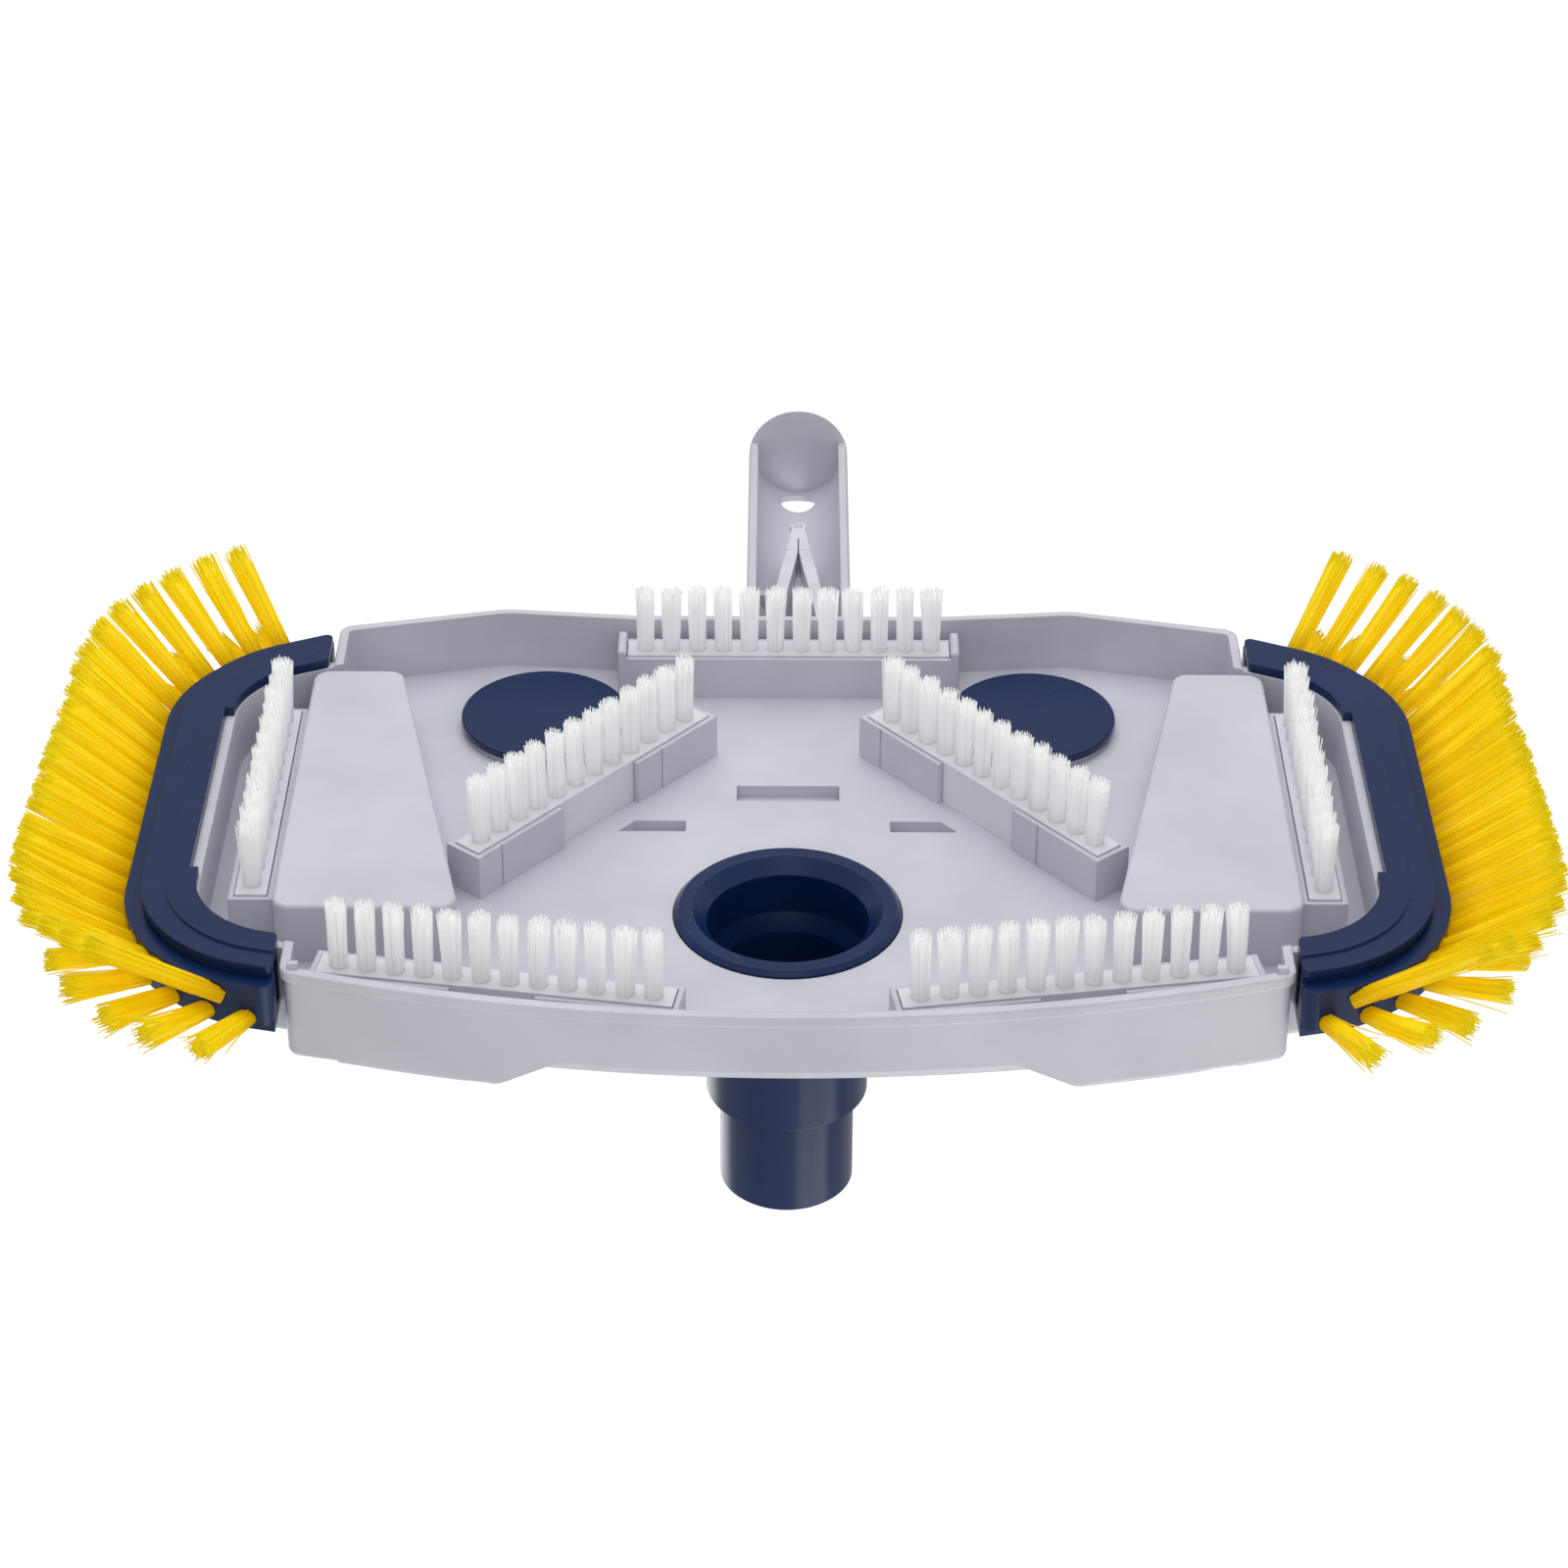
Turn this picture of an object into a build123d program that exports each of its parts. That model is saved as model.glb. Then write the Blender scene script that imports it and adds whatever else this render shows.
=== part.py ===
from build123d import *
import math
import os

# Manual vacuum head for a swimming pool, in millimetres.
# +Z is up in use: the white floor tufts stand on z = 0 and the hose spigot points up.
# +Y is the side that the pole handle folds to, and X runs along the head's long side.

os.makedirs("parts", exist_ok=True)

# ---- Driving dimensions: heights ----
tuft_length = 17.0            # white floor tufts, from the bar to the pool floor
bar_height = 11.6             # brush bars hang this far below the plate
plate_thickness = 3.0
wall_thickness = 1.6
rim_drop = 15.4               # the walls reach this far below the plate's underside
bead_height = 3.0             # thick bead round the rim
bead_step = 0.8               # how far the bead stands out of the wall
lobe_height = 5.5             # raised coaming over each end of the plate
pivot_rise = 22.0             # handle axis above the plate's underside
running_gap = 0.06            # radial clearance of a turning fit
seat_gap = 0.2                # clearance of a piece that is seated by hand
foot_gap = 0.3                # clearance between moving pieces that rest on each other

# ---- Driving dimensions: body outline ----
front_y = -63.6               # front rim at the middle
front_radius = 385.0          # the front wall is one long arc
body_reach = 113.5            # half-length of the full-depth body
rear_mid_y = 112.3            # rear wall behind the middle brush
rear_mid_reach = 38.0
rear_peak = (71.9, 115.4)     # the rear wall's outermost corner
rear_end_y = 106.1
rear_round = 14.0
body_round = 4.0              # upright corners at the ends of the front and rear walls
top_round = 3.0               # the walls roll over into the plate
tab_height = 1.4              # small posts on the rim at the ends of the front wall
tab_length = 2.4

# ---- Driving dimensions: the rounded ends that carry the side brushes ----
end_stand = 34.7              # the side rail's outside stands this far out of the body
end_front_shift = -1.1        # the rail's front end, from the front wall's end
end_rear_y = 100.4            # and where it meets the rear wall
end_front_angle = 13.4
end_rear_angle = 24.2
end_round = 36.0
rail_drop = 2.0               # the rails hang this far below the rim
rail_depth = 10.5             # from the rail's outside to the body's end wall
rail_flange = 2.5             # thickness of the rail's flanges
rail_web = 2.0                # thickness of the rail's web
rail_lip = 12.5               # width of the visible flange
rail_notch = 2.0              # shallow relief in the middle of the flange
rail_notch_span = (-7.6, 62.9)
rail_step = 0.5               # the flange's outer band stands this far back
rail_step_width = 5.5
rail_gap = 1.2                # gap between the rail's ends and the body
rail_top_gap = 0.4
rail_cover = 1.5              # the upper flange stands out over the rail's outside
carrier_bead_inset = 0.8
carrier_bead_width = 2.0
rail_screw_radius = 1.5
rail_screw_length = 6.0
rail_screw_head = 1.8
carrier_stand = 4.0           # the brush carrier stands out of the rail
carrier_height = 10.6
carrier_bead = 1.2            # the carrier stands on a narrow bead of this height
carrier_end_round = 3.0
rail_end_round = 1.5
carrier_back = 6.5            # how far the carrier reaches into the rail

# ---- Driving dimensions: brushes ----
tuft_count = 12
tuft_pitch = 6.56
tuft_base_radius = 2.0
tuft_tip_radius = 2.55
bar_width = 7.4
bar_length = 81.4
tuft_seat = 1.5               # tufts are set this deep in their holes
cup_wall = 1.5                # sockets that hold the bars
cup_drop = 0.4                # their rims stand this far back from the bar's face
cup_reach = 27.5              # they leave the middle of a bar's sides free
front_cup_reach = 31.0
cup_lines = (20.3, 7.8)       # joint lines in a socket, from its two ends
cup_line = 0.5                # their width and depth
bracket_rise = 2.0            # the rear bar stands between two taller brackets
bracket_length = 2.2
bracket_round = 0.9
end_reach = body_reach + end_stand
# name: centre x, centre y, angle of the bar, reach of its end cups
brush_places = {
    "rear_centre": (0.0, 102.3, 0.0, bar_length / 2),
    "front_left": (-65.2, -44.0, -9.2, front_cup_reach),
    "front_right": (65.2, -44.0, 9.2, front_cup_reach),
    "diagonal_left": (-48.9, 40.9, 49.7, cup_reach),
    "diagonal_right": (48.9, 40.9, -49.7, cup_reach),
    "side_left": (24.4 - end_reach, 30.3, 90.0, bar_length / 2),
    "side_right": (end_reach - 24.4, 30.3, 90.0, bar_length / 2),
}
side_tuft_pitches = {"lower": 7.1, "upper": 9.6}
side_front_margins = {"lower": 13.0, "upper": 6.0}
side_rear_margins = {"lower": 13.0, "upper": 10.0}
side_tuft_base_radius = 1.9
side_tuft_tip_radius = 2.9
side_matted_share = 0.3       # tufts in the front share of the lower row lie close together
side_matted_spread = 0.15     # and spread only this much
side_row_rises = {"lower": 3.3, "upper": 8.5}  # above the carrier's floor side
# length of a tuft by its place, from 0 at the carrier's front end to 1 at its rear end
side_tuft_lengths = {
    "lower": [(0.0, 33.0), (0.3, 28.5), (0.6, 28.5), (1.0, 35.5)],
    "upper": [(0.0, 20.0), (1.0, 20.0)],
}
side_tuft_droops = {"lower": 27.0, "upper": 8.0}
side_lower_fan = (-4.0, 68.0)  # headings of the front and rear lower tufts, 0 is outwards
side_lower_fan_power = 1.87   # the lower tufts turn to the rear mostly near the rear end
side_upper_fan = 0.8          # the upper tufts turn less than the carrier's edge does

# slots in the plate's underside: centre x, centre y, length, width, slant of the outer end
plate_slots = [(0.0, 52.1, 25.0, 6.7, 0.0), (31.8, 37.3, 14.2, 4.6, 3.9)]
slot_depth = 3.3
slot_pad_height = 1.6         # the plate is thicker over each slot
slot_pad_margin = 1.5

# ---- Driving dimensions: ballast ----
pocket_drop = 15.5            # weight pockets hang below the plate
pocket_wall = 2.2
pocket_outer_x = end_reach - 30.3
pocket_front_y = -20.6
pocket_front_x = 75.0
pocket_rear_x = 96.0
pocket_round = 4.0
block_height = 12.0
block_gap = 0.5
lobe_front_x = 50.3           # the coaming's inner end, at the front and at the rear
lobe_rear_x = 74.3
lobe_ramp = 15.0               # it slopes down to the plate over this length
lobe_round = 1.8
lobe_wall = 3.0
cover_thickness = 2.2
cover_gap = 0.4
cover_screw_radius = 1.6
cover_head_radius = 3.4
cover_head_height = 2.0
screw_slot = 0.8
cover_boss_radius = 4.2
cover_screw_length = 6.5
disc_x = 61.0
disc_y = 83.5
cap_radius = 20.8
cap_thickness = 2.0
cap_stand = 1.6               # the cap stands on a low plinth
cap_plinth_inset = 0.9
cap_edge = 0.6
cap_spigot = 1.5
dome_radius = 22.4
dome_height = 6.0
ballast_radius = 18.2
ballast_height = 5.0

# ---- Driving dimensions: hose swivel ----
flange_radius = 26.65
flange_thickness = 2.6
flange_lip = 1.6              # the flange stands this far below the plate
flange_edge = 1.2
spigot_edge = 1.0
mouth_radius = 22.3           # the mouth narrows to the throat
throat_radius = 19.0
throat_depth = 3.5
bore_radius = 16.9
journal_radius = 22.5         # turns in the body's boss
tube_radius = 19.25
spigot_radius = 16.0
spigot_bore_radius = 13.8
tube_top = 50.0               # above the plate's underside
spigot_top = 76.2
boss_wall = 3.5
boss_height = 9.0
ring_width = 3.6
ring_height = 3.0
ring_groove = 1.0
seal_thickness = 1.2

# ---- Driving dimensions: pole handle ----
handle_x = -2.7               # the handle sits a little to one side
pivot_y = 58.0
handle_tip_y = 271.6
handle_radius = 14.3
handle_wall = 2.0
handle_lip = 4.2              # the open side is cut this far past the axis
tip_wall = 1.8
tip_round = 1.6
neck_wall = 2.5               # end of the channel at the root
heel_width = 18.0
heel_length = 14.0
heel_start = 3.0
root_radius = 11.0
root_width = 33.6
root_end_y = 84.0
ear_gap = 0.3
ear_thickness = 5.0
ear_radius = 10.0
pin_radius = 4.0
pin_head = 2.0
pin_head_radius = 6.0
drain_radius = 5.3
drain_from_tip = 8.4
clip_bend_y = 221.0
clip_leg_length = 58.0
clip_leg_angle = 7.6
clip_leg_thickness = 3.4
clip_web = 15.0               # solid web between the eye and the two legs
clip_slit = 0.3
clip_slit_length = 8.0
clip_height = 7.0
eye_radius = 2.25
clip_post_radius = 1.2
button_radius = 3.2
button_gap = 0.9
button_stand = 3.0
button_round = 1.2
clip_rib_y = 196.0
clip_rib = 3.0

# ---- Worked out from the sizes above ----
plate_z = tuft_length + bar_height
plate_top = plate_z + plate_thickness
rim_z = plate_z - rim_drop
rail_floor_z = rim_z - rail_drop
pivot_z = plate_z + pivot_rise
lobe_top = plate_top + lobe_height
end_front_y = front_y + front_radius - math.sqrt(front_radius**2 - body_reach**2) + end_front_shift
web_top = plate_z - rail_top_gap
carrier_low = rail_floor_z + rail_flange + carrier_bead


def prism(sketch, low, high):
    """Extrude a sketch on the XY plane between two heights."""
    return extrude(Pos(0, 0, low) * sketch, amount=high - low)


def mirrored(shape):
    """The same shape on the other side of the head."""
    return mirror(shape, about=Plane.YZ)


def front_curve(x, inset):
    """Y of the front wall's arc at x."""
    radius = front_radius - inset
    return front_y + front_radius - math.sqrt(radius**2 - x**2)


def body_face(inset):
    """Outline of the full-depth body: a front arc and a five-sided rear."""
    reach = body_reach - inset
    front = ThreePointArc(
        (-reach, front_curve(reach, inset)), (0, front_y + inset), (reach, front_curve(reach, inset))
    )
    rear = Polyline(
        (reach, front_curve(reach, inset)),
        (reach, rear_end_y - inset),
        (rear_peak[0], rear_peak[1] - inset),
        (rear_mid_reach, rear_mid_y - inset),
        (-rear_mid_reach, rear_mid_y - inset),
        (-rear_peak[0], rear_peak[1] - inset),
        (-reach, rear_end_y - inset),
        (-reach, front_curve(reach, inset)),
    )
    face = make_face(Curve() + [front, rear])
    peaks = [v for v in face.vertices() if abs(abs(v.X) - rear_peak[0]) < 1 and v.Y > 0]
    face = fillet(peaks, rear_round)
    ends = [v for v in face.vertices() if abs(abs(v.X) - reach) < 0.01]
    return fillet(ends, max(body_round - inset, 0.5))


def end_lines(inset):
    """Front and rear edge heights of an end, as functions of x."""
    front_slope = math.tan(math.radians(end_front_angle))
    rear_slope = math.tan(math.radians(end_rear_angle))
    front_shift = inset / math.cos(math.radians(end_front_angle))
    rear_shift = inset / math.cos(math.radians(end_rear_angle))

    def front(x):
        return end_front_y + front_slope * (x - body_reach) + front_shift

    def rear(x):
        return end_rear_y - rear_slope * (x - body_reach) - rear_shift

    return front, rear


def end_face(inset, start_x):
    """Outline of the right-hand rounded end, from start_x outwards."""
    front, rear = end_lines(inset)
    reach = end_reach - inset
    face = make_face(
        Polyline(
            (start_x, front(start_x)),
            (reach, front(reach)),
            (reach, rear(reach)),
            (start_x, rear(start_x)),
            close=True,
        )
    )
    corners = [v for v in face.vertices() if abs(v.X - reach) < 0.01]
    return fillet(corners, end_round - inset)


def shell_face(inset):
    """Outline of the whole body shell, both ends included."""
    end = end_face(rail_depth + inset, body_reach - 20)
    return body_face(inset) + end + mirrored(end)


def pocket_rear():
    """Y of the pocket's rear side, where its outer corner meets the end wall."""
    return end_lines(rail_depth + bead_step + wall_thickness)[1](pocket_outer_x)


def pocket_face(inset):
    """Trapezoid outline of the right-hand ballast pocket."""
    lean = math.atan2(pocket_rear_x - pocket_front_x, pocket_rear() - pocket_front_y)
    shift = inset / math.cos(lean)
    slope = math.tan(lean)
    low = pocket_front_y + inset
    high = pocket_rear() - inset
    face = make_face(
        Polyline(
            (pocket_front_x + slope * inset + shift, low),
            (pocket_outer_x - inset, low),
            (pocket_outer_x - inset, high),
            (pocket_rear_x - slope * inset + shift, high),
            close=True,
        )
    )
    return fillet(face.vertices(), max(pocket_round - inset, 1.0))


def lobe_lean():
    """Slope of the coaming's inner end, across for each step towards the rear."""
    return (lobe_rear_x - lobe_front_x) / (rear_peak[1] - front_y)


def lobe_cut(shift):
    """Everything outside the right-hand coaming's inner end, moved outwards by shift."""
    return make_face(
        Polyline(
            (lobe_front_x + shift, front_y),
            (end_reach, front_y),
            (end_reach, rear_peak[1]),
            (lobe_rear_x + shift, rear_peak[1]),
            close=True,
        )
    )


def lobe_face(inset):
    """Outline of the space inside the right-hand coaming."""
    return shell_face(bead_step + inset) & lobe_cut(lobe_ramp + inset)


def make_lobe():
    """Right-hand coaming, flush with the walls, with a sloping inner end."""
    low = plate_top - top_round
    cut = lobe_cut(0)
    main = prism(body_face(bead_step) & cut, low, lobe_top)
    walls = [e for e in main.edges().group_by(Axis.Z)[-1] if abs(e.center().Y - disc_y / 3) > disc_x - 5]
    main = fillet(walls, lobe_round)
    end = prism(end_face(rail_depth, body_reach - 20) & cut, low, lobe_top)
    outer = [e for e in end.edges().group_by(Axis.Z)[-1] if e.center().X > body_reach - 10]
    end = fillet(outer, lobe_round)
    slope = math.degrees(math.atan2(lobe_height + top_round, lobe_ramp))
    wedge = Box(4 * end_reach, 4 * end_reach, 4 * lobe_height, align=(Align.CENTER, Align.CENTER, Align.MIN))
    turned = Rot(0, 0, -math.degrees(math.atan(lobe_lean()))) * Rot(0, -slope, 0) * wedge
    return (main + end) - Pos(lobe_front_x, front_y, low) * turned


def cup(length, reach):
    """Socket for one brush bar, centred on the bar, before it is turned into place."""
    outer_width = bar_width + 2 * cup_wall
    outer_length = length + 2 * cup_wall
    height = bar_height - cup_drop
    block = Box(outer_length, outer_width, height)
    slot = Box(length + 2 * seat_gap, bar_width + 2 * seat_gap, height)
    socket = block - slot
    if reach < length / 2:
        socket = socket - Box(length - 2 * reach, outer_width, height)
        first, second = cup_lines
        for x in (first - outer_length / 2, outer_length / 2 - second):
            for side in (-1, 1):
                socket = socket - Pos(x, side * outer_width / 2, 0) * Box(cup_line, cup_line, height)
    return Pos(0, 0, plate_z - height / 2) * socket


def make_brackets():
    """Two taller brackets at the ends of the rear bar."""
    x, y, _, _ = brush_places["rear_centre"]
    height = bar_height + bracket_rise
    width = bar_width + 2 * cup_wall
    block = Box(bracket_length, width, height, align=(Align.CENTER, Align.CENTER, Align.MAX))
    block = fillet(block.edges().group_by(Axis.Z)[0], bracket_round)
    out = bar_length / 2 + seat_gap + bracket_length / 2
    return [Pos(x + side * out, y, plate_z) * block for side in (-1, 1)]


def side_bar_web():
    """Fills the gap between the right-hand ballast pocket and the side bar's socket."""
    x, y, _, _ = brush_places["side_right"]
    start = pocket_outer_x - pocket_wall / 2
    width = x - bar_width / 2 - cup_wall / 2 - start
    height = bar_height - cup_drop
    web = Box(width, bar_length, height, align=(Align.MIN, Align.CENTER, Align.MAX))
    return Pos(start, y, plate_z) * web


def cover_screw_points():
    """Screw places of the right-hand cover: two near each end of the ballast pocket."""
    front = pocket_front_y - cover_boss_radius - 3
    rear = pocket_rear() + cover_boss_radius + 1
    outer = pocket_outer_x - 2 * cover_boss_radius
    return [(pocket_front_x + 7, front), (outer, front), (pocket_rear_x + 1, rear), (outer, rear)]


def rail_screw_points():
    """Screw places of the right-hand rail, in its web side, near its ends and middle."""
    front, rear = end_lines(rail_depth / 2)
    x = body_reach + 9
    return [(x, front(x)), (end_reach - rail_depth / 2, 30.0), (x, rear(x))]


def slot_faces(margin):
    """Outlines of the plate's slots, margin larger all round."""
    faces = []
    for x, y, length, width, slant in plate_slots:
        reach = length / 2 + margin
        half = width / 2 + margin
        face = make_face(
            Polyline(
                (x - reach, y - half),
                (x + reach + slant / 2, y - half),
                (x + reach - slant / 2, y + half),
                (x - reach, y + half),
                close=True,
            )
        )
        faces.append(face)
        if x > 0:
            faces.append(mirrored(face))
    return faces


def make_body_shell():
    """Plate, walls, brush sockets, ballast pockets, swivel boss and handle ears in one moulding."""
    up = (Align.CENTER, Align.CENTER, Align.MIN)
    main = prism(body_face(bead_step), rim_z, plate_top)
    main = fillet(main.edges().group_by(Axis.Z)[-1], top_round)
    bead = prism(body_face(0), rim_z, rim_z + bead_height)
    bead = fillet(bead.edges().group_by(Axis.Z)[-1], bead_step * 0.7)
    bead = fillet(bead.edges().group_by(Axis.Z)[0], bead_step * 0.7)
    ends = end_face(rail_depth, body_reach - 20)
    end = prism(ends, rail_floor_z + rail_flange, plate_top)
    shell = main + bead + end + mirrored(end)
    shell = shell - prism(shell_face(wall_thickness + bead_step), rim_z, plate_z)
    for place in (lambda s: s, mirrored):
        shell = shell + place(make_lobe() - prism(lobe_face(lobe_wall), plate_top, lobe_top))
        pocket = prism(pocket_face(0), plate_z - pocket_drop, plate_z)
        shell = shell + place(fillet(pocket.edges().group_by(Axis.Z)[0], pocket_wall / 2))
        shell = shell + place(side_bar_web())
        tab = Box(
            tab_length, wall_thickness, tab_height + bead_height, align=(Align.MAX, Align.MIN, Align.MIN))
        tab_x = body_reach - body_round / 2
        tab_y = front_curve(tab_x, bead_step) + bead_step / 2
        shell = shell + place(Pos(tab_x, tab_y, rim_z - tab_height) * tab)
        for x, y in cover_screw_points():
            boss = Cylinder(cover_boss_radius, lobe_height - cover_thickness, align=up)
            shell = shell + place(Pos(x, y, plate_top) * boss)
        dome = Cylinder(dome_radius, dome_height, align=up)
        dome = fillet(dome.edges().group_by(Axis.Z)[-1], dome_height / 3)
        shell = shell + place(Pos(disc_x, disc_y, plate_top) * dome)
        plinth = Cylinder(cap_radius - cap_plinth_inset, cap_stand, align=up)
        shell = shell + place(Pos(disc_x, disc_y, plate_z - cap_stand) * plinth)
    for x, y, angle, reach in brush_places.values():
        shell = shell + Pos(x, y, 0) * Rot(0, 0, angle) * cup(bar_length, reach)
    shell = shell + make_brackets()
    for face in slot_faces(slot_pad_margin):
        shell = shell + prism(face, plate_top, plate_top + slot_pad_height)
    for place in (lambda s: s, mirrored):
        shell = shell - place(prism(pocket_face(pocket_wall), plate_z - pocket_drop + pocket_wall, plate_top))
        depth = cap_spigot + ballast_height + 2 * seat_gap
        recess = Cylinder(ballast_radius + seat_gap, depth, align=up)
        shell = shell - place(Pos(disc_x, disc_y, plate_z - cap_stand) * recess)
        for x, y in cover_screw_points():
            hole = Cylinder(
                cover_screw_radius + running_gap, cover_screw_length + 1,
                align=(Align.CENTER, Align.CENTER, Align.MAX))
            shell = shell - place(Pos(x, y, lobe_top) * hole)
    for x, y, angle, _ in brush_places.values():
        seat = Box(bar_length + 2 * seat_gap, bar_width + 2 * seat_gap, bar_height)
        shell = shell - Pos(x, y, plate_z - bar_height / 2) * Rot(0, 0, angle) * seat
    boss = Cylinder(journal_radius + boss_wall, boss_height, align=up)
    boss = fillet(boss.edges().group_by(Axis.Z)[-1], boss_wall / 3)
    shell = shell + Pos(0, 0, plate_top) * boss
    shell = shell - Cylinder(journal_radius + running_gap, 4 * plate_top)
    flange_seat = Cylinder(flange_radius + foot_gap, seal_thickness + flange_thickness - flange_lip, align=up)
    shell = shell - Pos(0, 0, plate_z) * flange_seat
    for face in slot_faces(0):
        shell = shell - prism(face, plate_z, plate_z + slot_depth)
    for side in (-1, 1):
        shell = shell + make_ear(side)
    return shell


def make_ear(side):
    """One of the two lugs that hold the handle's pin."""
    inner = root_width / 2 + ear_gap
    rise = pivot_z - plate_top
    lug = Box(ear_thickness, 2 * ear_radius, rise, align=(Align.CENTER, Align.CENTER, Align.MIN))
    top = Pos(0, 0, rise) * Rot(0, 90, 0) * Cylinder(ear_radius, ear_thickness)
    hole = Pos(0, 0, rise) * Rot(0, 90, 0) * Cylinder(pin_radius + running_gap, 4 * ear_thickness)
    foot = Box(ear_thickness, 3 * ear_radius, 3, align=(Align.CENTER, Align.CENTER, Align.MIN))
    return Pos(handle_x + side * (inner + ear_thickness / 2), pivot_y, plate_top) * (lug + top + foot - hole)


def rail_face(inset, width):
    """A C-shaped band that follows the end, width wide, starting inset from its outside."""
    start_x = body_reach + rail_gap
    return end_face(inset, start_x) - end_face(inset + width, start_x - 5)


def round_ends(shape, radius):
    """Round the upright edges at both ends of a band."""
    limit = body_reach + 2 * rail_gap
    edges = [e for e in shape.edges().filter_by(Axis.Z) if e.center().X < limit]
    return fillet(edges, radius)


def make_side_rail():
    """Right-hand channel: wide floor-side flange, web on the end wall, narrow upper flange."""
    low = rail_floor_z
    flange = round_ends(prism(rail_face(0, rail_lip), low, low + rail_flange), rail_end_round)
    notch_length = rail_notch_span[1] - rail_notch_span[0]
    notch = Pos(end_reach - rail_lip, sum(rail_notch_span) / 2, low) * Box(
        2 * rail_notch, notch_length, rail_flange * 2)
    flange = flange - notch
    flange = flange - prism(rail_face(0, rail_step_width), low, low + rail_step)
    web = prism(rail_face(rail_depth - rail_web - seat_gap, rail_web), low + rail_flange, web_top)
    upper = prism(rail_face(-rail_cover, rail_depth + rail_cover - seat_gap), web_top - rail_flange, web_top)
    return flange + web + upper


def make_side_carrier():
    """Right-hand strip that holds the yellow tufts, seated in the rail."""
    band = rail_face(-carrier_stand, carrier_stand + carrier_back)
    strip = round_ends(prism(band, carrier_low, carrier_low + carrier_height), carrier_end_round)
    bead = prism(rail_face(carrier_bead_inset, carrier_bead_width), carrier_low - carrier_bead, carrier_low)
    holes = [hole for row in side_row_rises for hole in side_tufts(row)]
    return strip + bead - holes


def carrier_edge():
    """The carrier's outer edge from its front end to its rear end."""
    front, rear = end_lines(-carrier_stand)
    reach = end_reach + carrier_stand
    start_x = body_reach + rail_gap
    return FilletPolyline(
        (start_x, front(start_x)), (reach, front(reach)), (reach, rear(reach)), (start_x, rear(start_x)),
        radius=end_round + carrier_stand,
    )


def side_heading(row, share, normal):
    """Direction of a yellow tuft; 0 points outwards and 90 to the rear."""
    if row == "upper":
        return side_upper_fan * normal
    first, last = side_lower_fan
    return first + (last - first) * share**side_lower_fan_power


def side_length(row, share):
    """Length of a yellow tuft by its place along the carrier."""
    steps = side_tuft_lengths[row]
    for (start, short), (stop, long) in zip(steps, steps[1:]):
        if share <= stop:
            break
    return short + (long - short) * (share - start) / (stop - start)


def side_tufts(row):
    """Right-hand yellow tufts of one row: straight bundles that spread towards their tips."""
    edge = carrier_edge()
    margin = side_front_margins[row]
    run = edge.length - margin - side_rear_margins[row]
    count = int(run / side_tuft_pitches[row]) + 1
    tufts = []
    for index in range(count):
        share = (margin + run * index / (count - 1)) / edge.length
        point = edge.position_at(share)
        tangent = edge.tangent_at(share)
        normal = math.degrees(math.atan2(-tangent.X, tangent.Y))
        heading = side_heading(row, share, normal)
        matted = row == "lower" and share < side_matted_share
        spread = (side_tuft_tip_radius - side_tuft_base_radius) * (side_matted_spread if matted else 1.0)
        bundle = Cone(
            side_tuft_base_radius, side_tuft_base_radius + spread, side_length(row, share) + tuft_seat,
            align=(Align.CENTER, Align.CENTER, Align.MIN))
        aimed = Rot(0, 0, heading) * Rot(0, 90 + side_tuft_droops[row], 0) * Pos(0, 0, -tuft_seat) * bundle
        tufts.append(Pos(point.X, point.Y, carrier_low + side_row_rises[row]) * aimed)
    return tufts


def make_brush_bar():
    """One bar before it is turned into place, with its tuft holes."""
    bar = Pos(0, 0, plate_z - bar_height / 2) * Box(bar_length, bar_width, bar_height)
    holes = [Pos(x, 0, tuft_length) * Cylinder(
        tuft_base_radius, tuft_seat, align=(Align.CENTER, Align.CENTER, Align.MIN)) for x in tuft_places()]
    return bar - holes


def tuft_places():
    start = -tuft_pitch * (tuft_count - 1) / 2
    return [start + tuft_pitch * index for index in range(tuft_count)]


def make_floor_tufts():
    """Twelve white bundles before they are turned into place."""
    up = (Align.CENTER, Align.CENTER, Align.MIN)
    bundle = Cone(tuft_tip_radius, tuft_base_radius, tuft_length, align=up)
    root = Pos(0, 0, tuft_length) * Cylinder(tuft_base_radius, tuft_seat, align=up)
    return [Pos(x, 0, 0) * (bundle + root) for x in tuft_places()]


def make_ballast_cap():
    """Right-hand blue cap that closes the round ballast recess from below."""
    seat = plate_z - cap_stand
    disc = Pos(disc_x, disc_y, seat - cap_thickness) * Cylinder(
        cap_radius, cap_thickness, align=(Align.CENTER, Align.CENTER, Align.MIN))
    lower_edge = disc.edges().filter_by(GeomType.CIRCLE).sort_by(Axis.Z)[:1]
    disc = fillet(lower_edge, cap_edge)
    spigot = Pos(disc_x, disc_y, seat) * Cylinder(
        ballast_radius, cap_spigot, align=(Align.CENTER, Align.CENTER, Align.MIN))
    return disc + spigot


def make_ballast_disc():
    """Right-hand steel disc above the cap."""
    return Pos(disc_x, disc_y, plate_z - cap_stand + cap_spigot + seat_gap) * Cylinder(
        ballast_radius, ballast_height, align=(Align.CENTER, Align.CENTER, Align.MIN))


def make_ballast_block():
    """Right-hand steel block in the trapezoid pocket."""
    low = plate_z - pocket_drop + pocket_wall
    return prism(pocket_face(pocket_wall + block_gap), low, low + block_height)


def make_lobe_cover():
    """Right-hand cover inside the raised coaming."""
    plate = prism(lobe_face(lobe_wall + cover_gap), lobe_top - cover_thickness, lobe_top)
    for x, y in cover_screw_points():
        plate = plate - Pos(x, y, lobe_top) * Cylinder(cover_screw_radius + cover_gap, 4 * cover_thickness)
    return plate


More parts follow.
